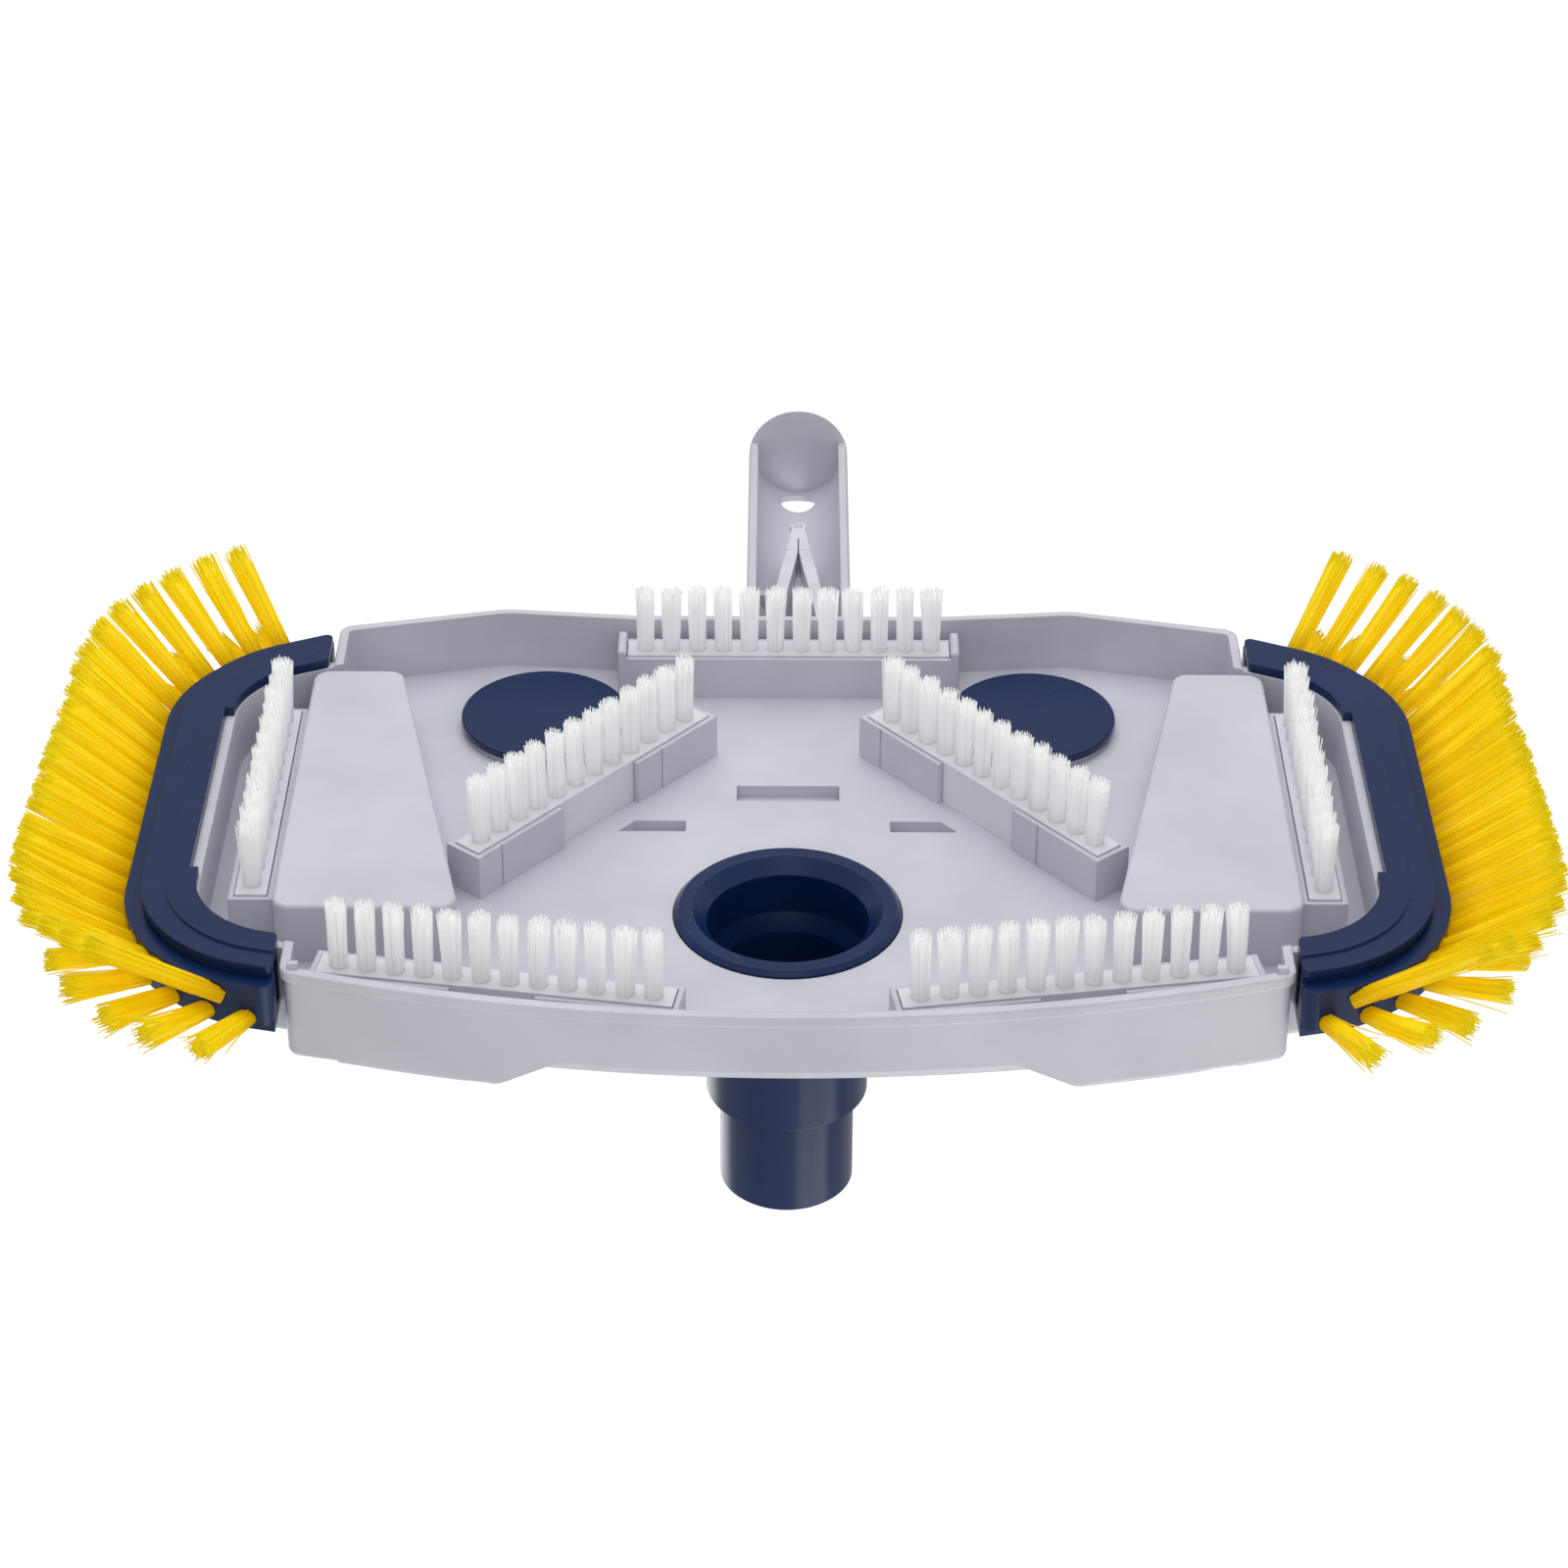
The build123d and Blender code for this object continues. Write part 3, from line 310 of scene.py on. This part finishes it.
# %% Measure the CAD tufts
same_place = 0.01 * MM     # points nearer than this are one point
ring_depth = 0.6 * MM      # points this near a tuft's end belong to its end ring


def islands(mesh):
    """The points of each separate solid in a mesh, found by following shared places from face to face."""
    places = np.array([v.co for v in mesh.vertices])
    _, same = np.unique(np.round(places / same_place).astype(int), axis=0, return_inverse=True)
    group = np.arange(same.max() + 1)
    corners = [same[list(face.vertices)].ravel() for face in mesh.polygons]
    changed = True
    while changed:
        changed = False
        for corner in corners:
            lowest = group[corner].min()
            if (group[corner] != lowest).any():
                group[corner] = lowest
                changed = True
        group = group[group]
    labels = group[same]
    return [places[labels == label] for label in np.unique(labels)]


def tuft_axes(name, towards_root):
    """(root, tip, root radius, tip radius) of every tuft in a CAD part."""
    found = []
    for points in islands(parts[name].data):
        centre = points.mean(axis=0)
        _, _, rows = np.linalg.svd(points - centre)
        axis = rows[0]
        if axis @ towards_root(centre) > 0:
            axis = -axis
        depth = (points - centre) @ axis
        ends = []
        for edge in (depth.min(), depth.max()):
            ring = points[np.abs(depth - edge) < ring_depth]
            middle = centre + axis * edge
            ends.append((middle, np.linalg.norm(ring - middle, axis=1).max()))
        found.append((ends[0][0], ends[1][0], ends[0][1], ends[1][1]))
    return found


floor_names = sorted(n for n in parts if n.startswith("floor_tufts"))
side_names = sorted(n for n in parts if n.startswith("side_tufts"))
print("floor brushes:", len(floor_names), "side brush rows:", len(side_names))

# %% [markdown]
# ## Growing the filaments
# A particle system could grow hair here, but its strands are hard to keep inside a shape and don't export
# well. Plain mesh code gives full control: each filament is a thin three-sided rod with four rings. Its
# root lies in a sunflower pattern in the hole, and its tip in the same pattern, made wider, so that the
# threads never cross. A random offset grows towards the tip, because used bristles splay, and a few strays
# stand out.

# %% Filament bundles
rings_along = np.array([0.0, 0.4, 0.75, 1.0])
sides = 3
core_profile = [(0.0, 0.97), (0.3, 0.96), (0.6, 0.93), (0.85, 0.88), (0.94, 0.6)]
core_sides = 12
stray_reach = 3.2      # how much further than the others a stray leans
clump_lobes = 2        # a worn bundle gathers into this many clumps
clump_turn = 6         # each bundle's clumps are turned by up to this many radians
clump_size = 0.12      # and widen it by up to this share
tip_share = 0.75       # a cut end is this much of the thread's width
box_margin = 0.1 * MM  # what filaments keep clear of the sides of the CAD box


def sunflower(count):
    """Evenly spread points in a unit disc."""
    index = np.arange(count) + 0.5
    radius = np.sqrt(index / count)
    angle = index * math.pi * (3 - math.sqrt(5))
    return np.stack([radius * np.cos(angle), radius * np.sin(angle)], axis=1)


def across(axis):
    """Two directions square to an axis and to each other."""
    upright = abs(axis[2]) >= 0.9 * np.linalg.norm(axis)
    side = np.cross(axis, (1.0, 0.0, 0.0) if upright else (0.0, 0.0, 1.0))
    side = side / np.linalg.norm(side)
    return side, np.cross(axis, side) / np.linalg.norm(axis)


def grow_bundle(rng, root, tip, root_radius, tip_radius, look, lean):
    """Points and the two numbers of each point for one tuft's filaments."""
    length = np.linalg.norm(tip - root)
    axis = (tip - root) / length
    side, other = across(axis)
    count = look["filaments"]
    disc = sunflower(count)
    splay = rng.normal(0.0, look["splay"], (count, 2))
    stray = rng.random(count) < look["strays"]
    splay[stray] = splay[stray] * stray_reach
    cut = 1 - np.abs(rng.normal(0.0, look["uneven"], count))
    around = np.arctan2(disc[:, 1], disc[:, 0])
    clump = np.sin(around * clump_lobes + rng.random() * clump_turn) * clump_size
    points = []
    for t in rings_along:
        spread = root_radius + (tip_radius - root_radius) * t ** look["flare"]
        flat = disc * spread * (1 + clump[:, None] * t) + splay * t ** 2 + lean * t ** 2
        depth = (t * length * cut)[:, None] * axis
        sag = np.outer(t ** 2 * cut, look["bend"])
        middle = root + depth + flat[:, :1] * side + flat[:, 1:] * other + sag
        turn = np.arange(sides) * 2 * math.pi / sides
        thick = look["radius"] * (1.0 if t < 1 else tip_share)
        rod = np.cos(turn)[:, None] * side + np.sin(turn)[:, None] * other
        points.append(middle[:, None, :] + thick * rod[None, :, :])
    points = np.stack(points, axis=1)
    along = np.broadcast_to(rings_along[None, :, None], points.shape[:3])
    own = np.broadcast_to(rng.random(count)[:, None, None], points.shape[:3])
    return points.reshape(-1, 3), along.ravel(), own.ravel(), count


def grow_core(root, tip, root_radius, tip_radius, look, lean):
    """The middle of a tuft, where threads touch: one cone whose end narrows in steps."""
    axis = tip - root
    side, other = across(axis)
    points = []
    for t, share in core_profile:
        spread = (root_radius + (tip_radius - root_radius) * t ** look["flare"]) * share
        middle = root + axis * t + lean[0] * side * t ** 2 + lean[1] * other * t ** 2 + look["bend"] * t ** 2
        turn = np.arange(core_sides) * 2 * math.pi / core_sides
        points.append(middle + spread * (np.cos(turn)[:, None] * side + np.sin(turn)[:, None] * other))
    points = np.stack(points)
    along = np.repeat([t for t, _ in core_profile], core_sides)
    return points.reshape(-1, 3), along, np.full(len(along), 0.5)


def rod_faces(count):
    """Faces of count rods whose points lie ring by ring: side quads and a triangle on each end."""
    rings = len(rings_along)
    faces = []
    for rod in range(count):
        first = rod * rings * sides
        for ring in range(rings - 1):
            a = first + ring * sides
            for s in range(sides):
                n = (s + 1) % sides
                faces.append((a + s, a + n, a + sides + n, a + sides + s))
        last = first + (rings - 1) * sides
        faces.append(tuple(range(last, last + sides)))
        faces.append(tuple(reversed(range(first, first + sides))))
    return faces


def core_faces(first):
    """Faces of one core whose points lie ring by ring from point first on, closed at both ends."""
    rings = len(core_profile)
    faces = [tuple(reversed(range(first, first + core_sides)))]
    for ring in range(rings - 1):
        a = first + ring * core_sides
        for s in range(core_sides):
            n = (s + 1) % core_sides
            faces.append((a + s, a + n, a + core_sides + n, a + core_sides + s))
    last = first + (rings - 1) * core_sides
    return faces + [tuple(range(last, last + core_sides))]


def brush(name, cad_name, tufts, look, material, seed):
    """One piece with all filaments of a brush, riding on the head in place of the plain CAD tufts."""
    rng = np.random.default_rng(seed)
    points, along, own, cores, count = [], [], [], [], 0
    for root, tip, root_radius, tip_radius in tufts:
        style = look(root, tip)
        lean = rng.normal(0.0, style["lean"], 2)
        made = grow_bundle(rng, root, tip, root_radius, tip_radius, style, lean)
        cores.append(grow_core(root, tip, root_radius, tip_radius, style, lean))
        points.append(made[0])
        along.append(made[1])
        own.append(made[2])
        count += made[3]
    faces = rod_faces(count)
    first = sum(len(p) for p in points)
    for core in cores:
        faces += core_faces(first)
        points.append(core[0])
        along.append(core[1])
        own.append(core[2])
        first += len(core[0])
    points = np.concatenate(points)
    # strays stay inside the measured size of the head, so that its overall size stays true
    points = np.clip(points, np.array(cad_low) + box_margin, np.array(cad_high) - box_margin)
    mesh = bpy.data.meshes.new(name)
    mesh.from_pydata(points.tolist(), [], faces)
    for label, values in (("along", along), ("own_shade", own)):
        attribute = mesh.attributes.new(label, "FLOAT", "POINT")
        attribute.data.foreach_set("value", np.concatenate(values).astype(np.float32))
    mesh.polygons.foreach_set("use_smooth", [True] * len(mesh.polygons))
    mesh.materials.append(material)
    piece = bpy.data.objects.new(name, mesh)
    bpy.context.scene.collection.objects.link(piece)
    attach(piece, "head")
    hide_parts(cad_name)
    return count


# %% [markdown]
# ## White floor brushes
# Twelve tufts stand on each of the seven bars. They are short and stiff, packed tight in the hole and
# flared at the cut end, where use has fluffed them up a little.

# %% Grow the white brushes
def white_look(root, tip):
    return {"filaments": 70, "radius": 0.17 * MM, "splay": 0.14 * MM, "strays": 0.03, "lean": 0.2 * MM,
            "uneven": 0.012, "flare": 1.2, "bend": np.zeros(3)}


white_seed = 11
white_count = 0
for number, name in enumerate(floor_names):
    tufts = tuft_axes(name, lambda centre: np.array([0.0, 0.0, 1.0]))
    piece_name = name.replace("floor_tufts", "white_bristles")
    white_count += brush(piece_name, name, tufts, white_look, white_nylon, white_seed + number)
print("white filaments:", white_count)

# %% [markdown]
# ## Yellow side brushes
# Two rows of longer tufts fan out of each end and sweep the corners of the pool. The front ones meet the
# walls first, so they are the most worn: towards the front the threads splay, lean and stray more.

# %% Grow the yellow brushes
wear_starts_y = -0.10                          # tufts in front of this are worn
wear_grows_over = 0.06                         # and fully worn this much further forward
fan_centre = np.array([0.0, -0.08, 0.02])      # the side tufts point away from here


def yellow_look(root, tip):
    worn = float(np.clip((wear_starts_y - root[1]) / wear_grows_over, 0.0, 1.0))
    return {"filaments": 80, "radius": 0.2 * MM, "splay": (0.3 + 0.4 * worn) * MM,
            "strays": 0.04 + 0.06 * worn, "lean": (0.4 + 0.7 * worn) * MM, "uneven": 0.02 + 0.02 * worn,
            "flare": 1.0, "bend": np.array([0.0, 0.0, -0.4 * MM])}


yellow_seed = 71
yellow_count = 0
for number, name in enumerate(side_names):
    tufts = tuft_axes(name, lambda centre: fan_centre - centre)
    piece_name = name.replace("side_tufts", "yellow_bristles")
    yellow_count += brush(piece_name, name, tufts, yellow_look, yellow_nylon,
                          yellow_seed + number)
print("yellow filaments:", yellow_count)

# %% [markdown]
# ## Camera
# The head was turned over for its portrait, so that its brushes show. In this frame that means a camera
# below the floor line, in front of the head, looking up at its underside, with its own top turned towards
# the floor. Its place, tilt and lens are those that make the known sizes of the head fall in the right
# places.

# %% Make the camera
camera_place = Vector((0.00100225, -0.904693, -0.517019))
camera_rise = 0.5655        # radians above level
camera_roll = -0.0045       # radians
ahead = Vector((0.0, math.cos(camera_rise), math.sin(camera_rise)))
up = Vector((0.0, math.sin(camera_rise), -math.cos(camera_rise)))
right = Vector((-1.0, 0.0, 0.0))
right, up = (math.cos(camera_roll) * right - math.sin(camera_roll) * up,
             math.sin(camera_roll) * right + math.cos(camera_roll) * up)
lens = bpy.data.cameras.new("portrait_camera")
lens.sensor_width = 36.0
lens.lens = 95.26
lens.clip_start = 0.01
lens.clip_end = 20.0
camera = bpy.data.objects.new("portrait_camera", lens)
camera.matrix_world = Matrix((
    (right.x, up.x, -ahead.x, camera_place.x),
    (right.y, up.y, -ahead.y, camera_place.y),
    (right.z, up.z, -ahead.z, camera_place.z),
    (0.0, 0.0, 0.0, 1.0),
))
bpy.context.scene.collection.objects.link(camera)
bpy.context.scene.camera = camera
camera_distance = (camera_place - (cad_low + cad_high) / 2).length
print("camera is", round(camera_distance, 3), "m from the middle of the head")

# %% [markdown]
# ## Floor
# A plain pale floor lies under the brushes, for the views from above. The portrait looks up through it, so
# its material is clear from below, and it neither shades the head nor bounces light at it.

# %% Make the floor
floor_mesh = bpy.data.meshes.new("studio_floor")
floor_reach = 4.0
paper_grain = 2 * MM
floor_mesh.from_pydata([(-floor_reach, -floor_reach, 0), (floor_reach, -floor_reach, 0),
                        (floor_reach, floor_reach, 0), (-floor_reach, floor_reach, 0)], [], [(0, 1, 2, 3)])
floor = bpy.data.objects.new("studio_floor", floor_mesh)
bpy.context.scene.collection.objects.link(floor)
paper, tree, output = new_material("floor_matt_paper")
facing = add_node(tree, "NewGeometry")
grain = add_node(tree, "TexNoise", values={"Scale": 1 / paper_grain, "Detail": 3.0},
                 links={"Vector": add_node(tree, "TexCoord").outputs["Object"]})
tone = add_node(tree, "ValToRGB", links={"Fac": grain.outputs["Fac"]})
colour_steps(tone.color_ramp, (0.3, "#E4E4E4"), (0.7, "#E8E8E8"))
matt = add_node(tree, "BsdfDiffuse", links={"Color": tone.outputs["Color"]})
clear = add_node(tree, "BsdfTransparent")
one_way = add_node(tree, "MixShader", links={"Fac": facing.outputs["Backfacing"]})
tree.links.new(matt.outputs["BSDF"], one_way.inputs[1])
tree.links.new(clear.outputs["BSDF"], one_way.inputs[2])
tree.links.new(one_way.outputs["Shader"], output.inputs["Surface"])
floor_mesh.materials.append(paper)
floor.visible_shadow = False
floor.visible_diffuse = False
floor.visible_glossy = False
floor.visible_transmission = False
print("floor reaches", floor_reach, "m each way")

# %% [markdown]
# ## Light
# A white studio: a bright surround, dimmer behind and below the head, and large soft lights. Three of them
# light the underside and the front, for the portrait, and two the top, for the other views. The surround
# is brighter to the camera than it is as a light, so that it shows pure white and the plastic still has
# its shading.

# %% Make the lights
bright_side = (0.0, -0.84, 0.54)     # the surround is brightest this way
dim_light, bright_light = 0.5, 0.62  # strength of the surround as a light
seen_white = 1.1                     # and as the camera sees it
world = bpy.data.worlds.new("white_studio")
bpy.context.scene.world = world
world.use_nodes = True
tree = world.node_tree
tree.nodes.clear()
seen = add_node(tree, "LightPath")
place = add_node(tree, "TexCoord").outputs["Generated"]
tilt = add_node(tree, "VectorMath", {"operation": "DOT_PRODUCT"}, links={0: place})
tilt.inputs[1].default_value = bright_side
as_light = add_node(tree, "MapRange", links={"Value": tilt.outputs["Value"]}, values={
    "From Min": -0.7, "From Max": 0.9, "To Min": dim_light, "To Max": bright_light})
strength = add_node(tree, "Mix", values={"B": seen_white}, links={
    "Factor": seen.outputs["Is Camera Ray"], "A": as_light.outputs["Result"]})
white = add_node(tree, "Background", values={"Color": (1.0, 1.0, 1.0, 1.0)},
                 links={"Strength": strength.outputs["Result"]})
add_node(tree, "OutputWorld", links={"Surface": white.outputs["Background"]})


def soft_light(name, place, size, watts, aim=(0.0, -0.05, 0.02)):
    """A square soft box that points at the head."""
    lamp = bpy.data.lights.new(name, "AREA")
    lamp.shape = "SQUARE"
    lamp.size = size
    lamp.energy = watts
    holder = bpy.data.objects.new(name, lamp)
    holder.location = place
    holder.rotation_mode = "QUATERNION"
    holder.rotation_quaternion = (Vector(aim) - Vector(place)).to_track_quat("-Z", "Y")
    bpy.context.scene.collection.objects.link(holder)
    return holder


lights = [
    soft_light("under_key", (0.0, 0.25, -1.3), 1.3, 10.8),
    soft_light("under_front", (0.0, -1.2, -0.75), 0.9, 1.6),
    soft_light("front_low", (0.0, -1.3, 0.8), 1.5, 0.7),
    soft_light("over_key", (-0.55, -0.6, 1.25), 1.1, 9.0),
    soft_light("over_back", (0.8, 0.9, 0.9), 0.9, 4.0),
]
bpy.context.scene.view_settings.view_transform = "Standard"
print("lights:", [light.name for light in lights])
